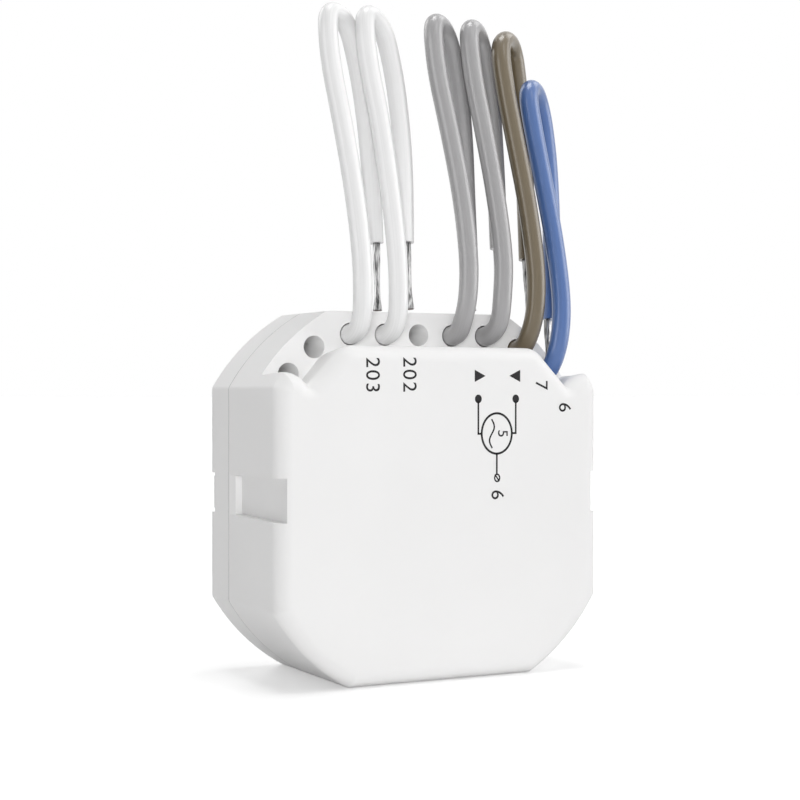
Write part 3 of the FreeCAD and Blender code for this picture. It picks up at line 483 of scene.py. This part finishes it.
def paint_shade_along(material, shader, colour_ramp):
    """Multiply the colour by a grey that changes along the wire, from its hole to its free end: painted shade
    on the far run.
    """
    tree = material.node_tree
    place = tree.nodes.new("ShaderNodeTexCoord")
    split = tree.nodes.new("ShaderNodeSeparateXYZ")
    along = tree.nodes.new("ShaderNodeValToRGB")
    while len(along.color_ramp.elements) < len(PAINTED_SHADE_ALONG):
        along.color_ramp.elements.new(0.5)
    for stop, (share, level) in zip(along.color_ramp.elements, PAINTED_SHADE_ALONG):
        stop.position = share
        stop.color = (level, level, level, 1)
    mix = tree.nodes.new("ShaderNodeMix")
    mix.data_type = "RGBA"
    mix.blend_type = "MULTIPLY"
    mix.inputs["Factor"].default_value = 1.0
    tree.links.new(place.outputs["UV"], split.inputs[0])
    tree.links.new(split.outputs["X"], along.inputs["Fac"])
    tree.links.new(colour_ramp.outputs["Color"], mix.inputs[6])
    tree.links.new(along.outputs["Color"], mix.inputs[7])
    tree.links.new(mix.outputs[2], shader.inputs["Base Color"])


print("levels along a wire:", PAINTED_SHADE_ALONG)

# %% Wire finishes
LINES_PER_METRE = 14
LINE_STRETCH = (0.25, 3.0, 1.0)
COAT = 0.60
COAT_DULLNESS = 0.18


def wire_skin(name, colour, gloss):
    """Extruded insulation with faint lines along the wire."""
    material, shader = new_finish(name)
    lines = noise_in(material, LINES_PER_METRE, stretch=LINE_STRETCH, space="UV")
    ramp = drift_colour(material, shader, lines, shade(colour, 0.97), shade(colour, 1.03))
    # Painted shade: the colour turns darker after the fold.
    paint_shade_along(material, shader, ramp)
    vary_roughness(material, shader, lines, gloss, gloss + 0.08)
    grain(material, shader, lines, 0.0015 * MM)
    shader.inputs["Coat Weight"].default_value = COAT
    shader.inputs["Coat Roughness"].default_value = COAT_DULLNESS
    return material


wire_skins = {
    "white": wire_skin("wire_white", (0.80, 0.80, 0.80), 0.42),
    "grey": wire_skin("wire_grey", (0.340, 0.335, 0.340), 0.36),
    "brown": wire_skin("wire_brown", (0.135, 0.105, 0.062), 0.34),
    "blue": wire_skin("wire_blue", (0.070, 0.145, 0.365), 0.34),
}
for name, wire in wires.items():
    wire.data.materials.append(wire_skins[name.split("_")[0]])
print("wire skins:", ", ".join(wire_skins))

# %% [markdown]
# Inside the housing the six wires go on to the board as one solid of the frame. Splitting it would change
# the frame, so it keeps its mesh, and each of its faces gets the skin of the wire whose hole is nearest.

# %% Skins of the tails inside
def nearest_wire(x, z):
    """The wire whose hole is nearest to a place inside the housing."""
    gaps = {name: math.hypot(x - mouth[0], z - mouth[2]) for name, mouth in hole_mouths.items()}
    return min(gaps, key=gaps.get)


tails = nodes["wire_tails"]
tails.data.materials.clear()
for skin in wire_skins.values():
    tails.data.materials.append(skin)
skin_order = list(wire_skins)
for face in tails.data.polygons:
    x, _, z = face.center / MM
    face.material_index = skin_order.index(nearest_wire(x, z).split("_")[0])
print("tail faces:", len(tails.data.polygons))

# %% [markdown]
# ## Metals
#
# Tin, plated iron, brass and copper differ by colour and by how far the highlight spreads. Each gets a low,
# uneven roughness, because dipped tin and stamped strip are never evenly bright. The strands at the free
# ends look darker and streaky, since what they mirror changes from one strand to the next. The same helper
# gives them streaks along the wire, and their cut face shows dull copper.

# %% Metal finishes
PATCHY = (0.80, 1.10)
STREAKY = (0.25, 1.9)
STREAK_SCALE = 0.12


def metal(name, colour, low, high, scale, height, streaky=False):
    """Bare or plated metal with an uneven shine, or with dark streaks that run up and down."""
    material, shader = new_finish(name)
    scale_up = STREAK_SCALE if streaky else 1
    dark, light = STREAKY if streaky else PATCHY
    patches = noise_in(material, scale, detail=3.0, stretch=(1, 1, scale_up))
    drift_colour(material, shader, patches, shade(colour, dark), shade(colour, light))
    vary_roughness(material, shader, patches, low, high)
    grain(material, shader, patches, height)
    shader.inputs["Metallic"].default_value = 1.0
    return material


tinned_metal = metal("tinned_metal", (0.56, 0.55, 0.53), 0.22, 0.40, 1800, 0.03 * MM)
soft_iron = metal("soft_iron", (0.50, 0.51, 0.52), 0.25, 0.40, 700, 0.004 * MM)
contact_brass = metal("contact_brass", (0.72, 0.47, 0.24), 0.22, 0.36, 900, 0.003 * MM)
copper_winding = metal("copper_winding", (0.62, 0.25, 0.12), 0.20, 0.34, 2600, 0.03 * MM)
shield_steel = metal("shield_steel", (0.62, 0.63, 0.64), 0.24, 0.38, 500, 0.004 * MM)
twisted_strands = metal("twisted_strands", (0.36, 0.36, 0.36), 0.34, 0.50, 4200, 0.006 * MM, True)
cut_copper = metal("cut_copper", (0.12, 0.075, 0.055), 0.35, 0.50, 3000, 0.01 * MM)
for tip in tips.values():
    tip.data.materials.append(twisted_strands)
    tip.data.materials.append(cut_copper)
print("bare ends finished:", len(tips))

# %% Metals on the inner parts
metal_nodes = {
    "tail_conductors": tinned_metal,
    "solder_joints": tinned_metal,
    "radio_shield": shield_steel,
    "radio_aerial": copper_winding,
    "inductor_winding": copper_winding,
}
for number in (1, 2):
    metal_nodes["relay_%d_winding" % number] = copper_winding
    metal_nodes["relay_%d_yoke" % number] = soft_iron
    metal_nodes["relay_%d_armature" % number] = soft_iron
    metal_nodes["relay_%d_contact_blade" % number] = contact_brass
    metal_nodes["relay_%d_fixed_contact" % number] = contact_brass
for node, material in metal_nodes.items():
    dress(node, material)
print("metal finishes on", len(metal_nodes), "nodes")

# %% [markdown]
# ## Plastics, laminate and ceramics inside the housing
#
# They are hidden in use, but the cover comes off, so they are finished as well. One helper covers moulded,
# dipped and pressed parts, which differ by a colour, a gloss, and the size of the grain. The boards have
# one of their own: a brick texture, whose joints look like copper tracks under the green resist.

# %% Helpers for the inner parts
SLOWER = 12
TRACKS_PER_METRE = 420
TRACK_WIDTH = 0.035
WEAVE_PER_METRE = 4000


def moulded(name, colour, gloss, scale=2500, height=0.003 * MM, coat=0.0):
    """A moulded, dipped or pressed part."""
    material, shader = new_finish(name)
    slow = noise_in(material, scale / SLOWER)
    fine = noise_in(material, scale)
    drift_colour(material, shader, slow, shade(colour, 0.93), shade(colour, 1.07))
    vary_roughness(material, shader, fine, gloss, gloss + 0.08)
    grain(material, shader, fine, height)
    shader.inputs["Coat Weight"].default_value = coat
    return material


def laminate(name, resist, copper):
    """A circuit board: copper tracks that show through the green solder resist."""
    material, shader = new_finish(name)
    tree = material.node_tree
    place = tree.nodes.new("ShaderNodeTexCoord")
    tracks = tree.nodes.new("ShaderNodeTexBrick")
    tracks.inputs["Scale"].default_value = TRACKS_PER_METRE
    tracks.inputs["Mortar Size"].default_value = TRACK_WIDTH
    tracks.inputs["Color1"].default_value = (*resist, 1)
    tracks.inputs["Color2"].default_value = (*shade(resist, 0.85), 1)
    tracks.inputs["Mortar"].default_value = (*copper, 1)
    tree.links.new(place.outputs["Object"], tracks.inputs["Vector"])
    tree.links.new(tracks.outputs["Color"], shader.inputs["Base Color"])
    weave = noise_in(material, WEAVE_PER_METRE, detail=1.0)
    grain(material, shader, weave, 0.002 * MM)
    vary_roughness(material, shader, weave, 0.30, 0.42)
    return material


print("helpers for the inner parts ready")

# %% Inner finishes
inner_finishes = {
    laminate("board_laminate", (0.016, 0.120, 0.045), (0.040, 0.200, 0.070)): ["main_board", "radio_board"],
    moulded("relay_case_plastic", (0.020, 0.070, 0.230), 0.32, coat=0.2): ["relay_1_case", "relay_2_case"],
    moulded("dark_plastic", (0.022, 0.022, 0.024), 0.45): [
        "relay_1_base", "relay_2_base", "fuse", "rectifier", "supply_chip", "control_chip", "button_body"],
    moulded("bobbin_plastic", (0.72, 0.66, 0.50), 0.45): ["relay_1_bobbin", "relay_2_bobbin"],
    moulded("varistor_coating", (0.030, 0.110, 0.370), 0.25, 900, 0.02 * MM, 0.5): ["varistor"],
    moulded("film_capacitor_case", (0.62, 0.46, 0.035), 0.35): ["film_capacitor"],
    moulded("capacitor_sleeve", (0.030, 0.030, 0.050), 0.28, coat=0.4): [
        "bulk_capacitor", "output_capacitor"],
    moulded("ferrite", (0.060, 0.060, 0.066), 0.60, 5000, 0.006 * MM): ["inductor_core"],
    moulded("plunger_plastic", (0.80, 0.80, 0.78), 0.40): ["button_plunger"],
    moulded("led_resin", (0.80, 0.77, 0.60), 0.18, coat=0.6): ["status_led"],
}
for material, dressed in inner_finishes.items():
    for node in dressed:
        dress(node, material)
print("inner finishes:", len(inner_finishes))

# %% [markdown]
# ## The print on the front
#
# A soft pad prints a dark diagram and the terminal numbers on the plastic. The ink is a skin about a
# hundredth of a millimetre thick. Each stroke here is a flat ribbon that stands that far proud: it has
# clean edges at any size, and no picture is needed. The ribbon also goes a little into the plastic, so no
# gap shows under it.

# %% Ink
INK_SHINE = 0.2
INK_GRAIN = 3000

ink, shader = new_finish("print_ink")
patchy = noise_in(ink, INK_GRAIN)
drift_colour(ink, shader, patchy, (0.018, 0.017, 0.018), (0.026, 0.024, 0.026))
vary_roughness(ink, shader, patchy, 0.50, 0.60)
shader.inputs["Specular IOR Level"].default_value = INK_SHINE
print("ink ready:", ink.name)

# %% Ribbons
FRONT_Y = -11.4
INK_RISE = 0.010
INK_SUNK = 0.010
STROKE = 0.25

print_shape = bmesh.new()


def print_patch(outline):
    """A thin printed patch from an outline of (x, z) in millimetres, in either direction."""
    front = [print_shape.verts.new((x * MM, (FRONT_Y - INK_RISE) * MM, z * MM)) for x, z in outline]
    back = [print_shape.verts.new((x * MM, (FRONT_Y + INK_SUNK) * MM, z * MM)) for x, z in outline]
    print_shape.faces.new(front)
    print_shape.faces.new(list(reversed(back)))
    count = len(outline)
    for i in range(count):
        j = (i + 1) % count
        print_shape.faces.new((front[j], front[i], back[i], back[j]))


def print_line(points, width=STROKE):
    """A printed stroke along points, one patch per run, with its corners filled."""
    for (x0, z0), (x1, z1) in zip(points, points[1:]):
        length = math.hypot(x1 - x0, z1 - z0)
        ux, uz = (x1 - x0) / length * width / 2, (z1 - z0) / length * width / 2
        print_patch([
            (x0 - ux + uz, z0 - uz - ux), (x1 + ux + uz, z1 + uz - ux),
            (x1 + ux - uz, z1 + uz + ux), (x0 - ux - uz, z0 - uz + ux),
        ])


def oval(cx, cz, rx, rz, count=48):
    """Points of an oval's outline."""
    return [(cx + rx * math.cos(2 * math.pi * i / count), cz + rz * math.sin(2 * math.pi * i / count))
            for i in range(count)]


def print_ring(cx, cz, rx, rz, width=STROKE, count=64):
    """A printed oval ring, rx and rz to the middle of its stroke."""
    outer = oval(cx, cz, rx + width / 2, rz + width / 2, count)
    inner = oval(cx, cz, rx - width / 2, rz - width / 2, count)
    for i in range(count):
        j = (i + 1) % count
        print_patch([outer[i], outer[j], inner[j], inner[i]])


print("strokes are %.2f mm wide and stand %.3f mm proud" % (STROKE, INK_RISE))

# %% [markdown]
# The diagram is drawn from those ribbons, in millimetres on the front face: two triangles for the
# directions, two dots joined to the motor's ring, a wave for its alternating current, and the common lead
# below with a struck-out ring.

# %% The wiring diagram
MOTOR_X, MOTOR_Z = 7.55, 32.14
MOTOR_RX, MOTOR_RZ = 2.30, 2.66
LEFT_TRIANGLE = [(4.20, 40.52), (4.20, 38.92), (5.83, 39.72)]
RIGHT_TRIANGLE = [(11.15, 40.56), (11.15, 38.94), (9.47, 39.75)]
LEFT_X, RIGHT_X = 4.74, 10.46
DOT_Z = 36.70
DOT_RX, DOT_RZ = 0.51, 0.57
LEAD_TOP = DOT_Z - 0.4
LEFT_LEAD_Z, RIGHT_LEAD_Z = MOTOR_Z - 0.02, MOTOR_Z + 0.02
WAVE_X, WAVE_TOP, WAVE_LENGTH = 6.80, 33.95, 3.65
WAVE_SWING = 0.36
WAVE_STEPS = 16
COMMON_END = 26.85
COMMON_X, COMMON_Z = MOTOR_X + 0.05, 26.28
COMMON_RX, COMMON_RZ = 0.38, 0.47
STRIKE = [(MOTOR_X - 0.24, 26.66), (MOTOR_X + 0.34, 25.90)]
BOLD_STROKE, FINE_STROKE, THIN_STROKE = 0.29, 0.21, 0.19

print_patch(LEFT_TRIANGLE)
print_patch(RIGHT_TRIANGLE)
print_patch(oval(LEFT_X, DOT_Z, DOT_RX, DOT_RZ))
print_patch(oval(RIGHT_X, DOT_Z, DOT_RX, DOT_RZ))
print_line([(LEFT_X, LEAD_TOP), (LEFT_X, LEFT_LEAD_Z), (MOTOR_X - MOTOR_RX, LEFT_LEAD_Z)])
print_line([(RIGHT_X, LEAD_TOP), (RIGHT_X, RIGHT_LEAD_Z), (MOTOR_X + MOTOR_RX, RIGHT_LEAD_Z)])
print_ring(MOTOR_X, MOTOR_Z, MOTOR_RX, MOTOR_RZ, BOLD_STROKE)
wave = []
for step in range(WAVE_STEPS + 1):
    share = step / WAVE_STEPS
    wave.append((WAVE_X + WAVE_SWING * math.sin(2 * math.pi * share), WAVE_TOP - WAVE_LENGTH * share))
print_line(wave, FINE_STROKE)
print_line([(MOTOR_X, MOTOR_Z - MOTOR_RZ), (MOTOR_X, COMMON_END)])
print_ring(COMMON_X, COMMON_Z, COMMON_RX, COMMON_RZ, FINE_STROKE, count=36)
print_line(STRIKE, THIN_STROKE)

bmesh.ops.recalc_face_normals(print_shape, faces=print_shape.faces)
diagram_mesh = bpy.data.meshes.new("printed_diagram")
print_shape.to_mesh(diagram_mesh)
print_shape.free()
diagram = bpy.data.objects.new("printed_diagram", diagram_mesh)
diagram.data.materials.append(ink)
bpy.context.scene.collection.objects.link(diagram)
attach(diagram, "housing")
print("faces in the printed diagram:", len(diagram_mesh.polygons))

# %% [markdown]
# ## Terminal numbers
#
# The numbers come from the built-in font, given the ink's thickness and turned a quarter, so that they read
# downwards. They are made into meshes, so that they behave like every other piece.

# %% Terminal numbers
DIGIT_SHARE = 0.70
INK_SPREAD = 0.005
NUMBER_SPACING = 1.15


def print_number(name, words, x, z, height):
    """A number centred on (x, z) that reads downwards, height across its line."""
    curve = bpy.data.curves.new(name, "FONT")
    curve.body = words
    curve.align_x = "CENTER"
    curve.align_y = "CENTER"
    curve.size = height * MM / DIGIT_SHARE
    curve.extrude = (INK_RISE + INK_SUNK) / 2 * MM
    curve.offset = INK_SPREAD * MM
    curve.space_character = NUMBER_SPACING
    text = bpy.data.objects.new(name + "_curve", curve)
    text.location = (x * MM, (FRONT_Y - (INK_RISE - INK_SUNK) / 2) * MM, z * MM)
    text.rotation_euler = (math.radians(90), math.radians(90), 0)
    bpy.context.scene.collection.objects.link(text)
    bpy.context.view_layer.update()
    evaluated = text.evaluated_get(bpy.context.evaluated_depsgraph_get())
    mesh = bpy.data.meshes.new_from_object(evaluated)
    mesh.transform(text.matrix_world)
    bpy.data.objects.remove(text)
    number = bpy.data.objects.new(name, mesh)
    mesh.materials.clear()
    mesh.materials.append(ink)
    bpy.context.scene.collection.objects.link(number)
    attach(number, "housing")
    return number


numbers = [
    print_number("number_203", "203", -10.78, 39.75, 1.95),
    print_number("number_202", "202", -5.50, 39.85, 1.95),
    print_number("number_7", "7", 14.40, 38.54, 1.90),
    print_number("number_6", "6", 18.10, 35.54, 1.92),
    print_number("number_6_motor", "6", 7.59, 24.06, 1.92),
    print_number("number_5_motor", "5", 8.40, 32.12, 1.50),
]
print("numbers printed:", len(numbers))

# %% [markdown]
# ## Floor and background
#
# The picture is taken on white. The floor takes the soft shadow under the box. To the camera, and in
# reflections and glass, it also glows a little, and more further off, so that it reaches paper white away
# from the shadow. The light that it throws back on the object stays that of a plain pale floor.

# %% What the camera and the reflections see
def seen_or_reflected(tree):
    """One where a ray comes from the camera, a reflection or glass, and nought elsewhere."""
    path = tree.nodes.new("ShaderNodeLightPath")
    first = tree.nodes.new("ShaderNodeMath")
    first.operation = "MAXIMUM"
    second = tree.nodes.new("ShaderNodeMath")
    second.operation = "MAXIMUM"
    tree.links.new(path.outputs["Is Camera Ray"], first.inputs[0])
    tree.links.new(path.outputs["Is Glossy Ray"], first.inputs[1])
    tree.links.new(first.outputs[0], second.inputs[0])
    tree.links.new(path.outputs["Is Transmission Ray"], second.inputs[1])
    return second.outputs[0]


print("helper for the glow ready")

# %% Floor paper
PAPER_GRAIN = 300
PAPER_ROUGHNESS = 0.35
PAPER_SHINE = 0.25
GLOW_NEAR, GLOW_FAR = 0.33, 0.66
GLOW_START, GLOW_END = 0.05, 1.2

floor_paper, shader = new_finish("floor_paper")
tree = floor_paper.node_tree
fibres = noise_in(floor_paper, PAPER_GRAIN)
drift_colour(floor_paper, shader, fibres, (0.80, 0.80, 0.80), (0.82, 0.82, 0.82))
shader.inputs["Roughness"].default_value = PAPER_ROUGHNESS
shader.inputs["Specular IOR Level"].default_value = PAPER_SHINE
shader.inputs["Emission Color"].default_value = (1, 1, 1, 1)
spot = tree.nodes.new("ShaderNodeTexCoord")
distance = tree.nodes.new("ShaderNodeVectorMath")
distance.operation = "LENGTH"
tree.links.new(spot.outputs["Object"], distance.inputs[0])
fade = tree.nodes.new("ShaderNodeMapRange")
fade.interpolation_type = "SMOOTHSTEP"
fade.inputs["From Min"].default_value = GLOW_START
fade.inputs["From Max"].default_value = GLOW_END
fade.inputs["To Min"].default_value = GLOW_NEAR
fade.inputs["To Max"].default_value = GLOW_FAR
tree.links.new(distance.outputs["Value"], fade.inputs["Value"])
glow = tree.nodes.new("ShaderNodeMath")
glow.operation = "MULTIPLY"
tree.links.new(seen_or_reflected(tree), glow.inputs[0])
tree.links.new(fade.outputs["Result"], glow.inputs[1])
tree.links.new(glow.outputs[0], shader.inputs["Emission Strength"])
print("glow of the floor: %.2f near, %.2f far" % (GLOW_NEAR, GLOW_FAR))

# %% Floor
FLOOR_REACH = 12.0

floor_mesh = bpy.data.meshes.new("floor")
floor_mesh.from_pydata(
    [(-FLOOR_REACH, -FLOOR_REACH, 0), (FLOOR_REACH, -FLOOR_REACH, 0),
     (FLOOR_REACH, FLOOR_REACH, 0), (-FLOOR_REACH, FLOOR_REACH, 0)],
    [], [(0, 1, 2, 3)])
floor = bpy.data.objects.new("floor", floor_mesh)
floor.data.materials.append(floor_paper)
bpy.context.scene.collection.objects.link(floor)
print("floor is %.0f m wide" % (2 * FLOOR_REACH))

# %% [markdown]
# ## Light
#
# A white studio. The key lamp stands close to the camera's line, which makes the printed face the brightest
# and hides the wires' shadows behind them. It shows in no reflection, because a bright square on every bend
# would give it away. A small weak lamp is higher in front, and one straight above lights the top. A large
# one at the right and a weaker one above it keep that side from going dark, and one behind on the left
# lights the edges from there. The card at the left is the opposite of the key: it adds no light to dull
# surfaces, and mostly shows in the coat of the wires, as one long soft shine.
# The world is white to the camera and in reflections, and nearly dark otherwise, so the lamps alone give the
# object its form. Another way is one bright white world, but then every side is equally light. One render
# for each lamp showed what it adds, and the powers started from the best mix.

# %% World
WORLD_STRENGTH = 0.03

world = bpy.data.worlds.new("studio")
bpy.context.scene.world = world
world.use_nodes = True
tree = world.node_tree
background = tree.nodes["Background"]
background.inputs["Color"].default_value = (1, 1, 1, 1)
level = tree.nodes.new("ShaderNodeMapRange")
level.inputs["To Min"].default_value = WORLD_STRENGTH
level.inputs["To Max"].default_value = 1.0
tree.links.new(seen_or_reflected(tree), level.inputs["Value"])
tree.links.new(level.outputs["Result"], background.inputs["Strength"])
print("world strength:", WORLD_STRENGTH)

# %% Lamps
def soft_lamp(name, place, aim, size, power):
    """A square area lamp that looks at a point."""
    data = bpy.data.lights.new(name, "AREA")
    data.size = size
    data.energy = power
    lamp = bpy.data.objects.new(name, data)
    lamp.location = place
    lamp.rotation_euler = (Vector(aim) - Vector(place)).to_track_quat("-Z", "Y").to_euler()
    bpy.context.scene.collection.objects.link(lamp)
    return lamp


AIM = (0, 0, 0.035)
lamps = {
    "key": soft_lamp("key_lamp", (-0.411, -0.796, 0.110), AIM, 0.26, 4.05),
    "high": soft_lamp("high_lamp", (0.165, -0.615, 0.670), AIM, 0.30, 0.60),
    "top": soft_lamp("top_lamp", (0, -0.03, 0.935), AIM, 0.45, 4.0),
    "right": soft_lamp("right_lamp", (0.775, -0.395, 0.268), AIM, 0.60, 3.2),
    "side": soft_lamp("side_lamp", (0.620, 0.100, 0.680), AIM, 0.40, 1.0),
    "rear": soft_lamp("rear_lamp", (-0.423, 0.604, 0.551), AIM, 0.50, 1.8),
    "card": soft_lamp("card_lamp", (-0.870, -0.190, 0.270), AIM, 0.50, 1.8),
}
lamps["key"].visible_glossy = False
lamps["card"].visible_diffuse = False
print("lamps:", {name: round(lamp.data.energy, 2) for name, lamp in lamps.items()})

# %% [markdown]
# ## Colour handling
#
# The Standard view keeps written colours as they are.

# %% View
bpy.context.scene.view_settings.view_transform = "Standard"
bpy.context.view_layer.update()
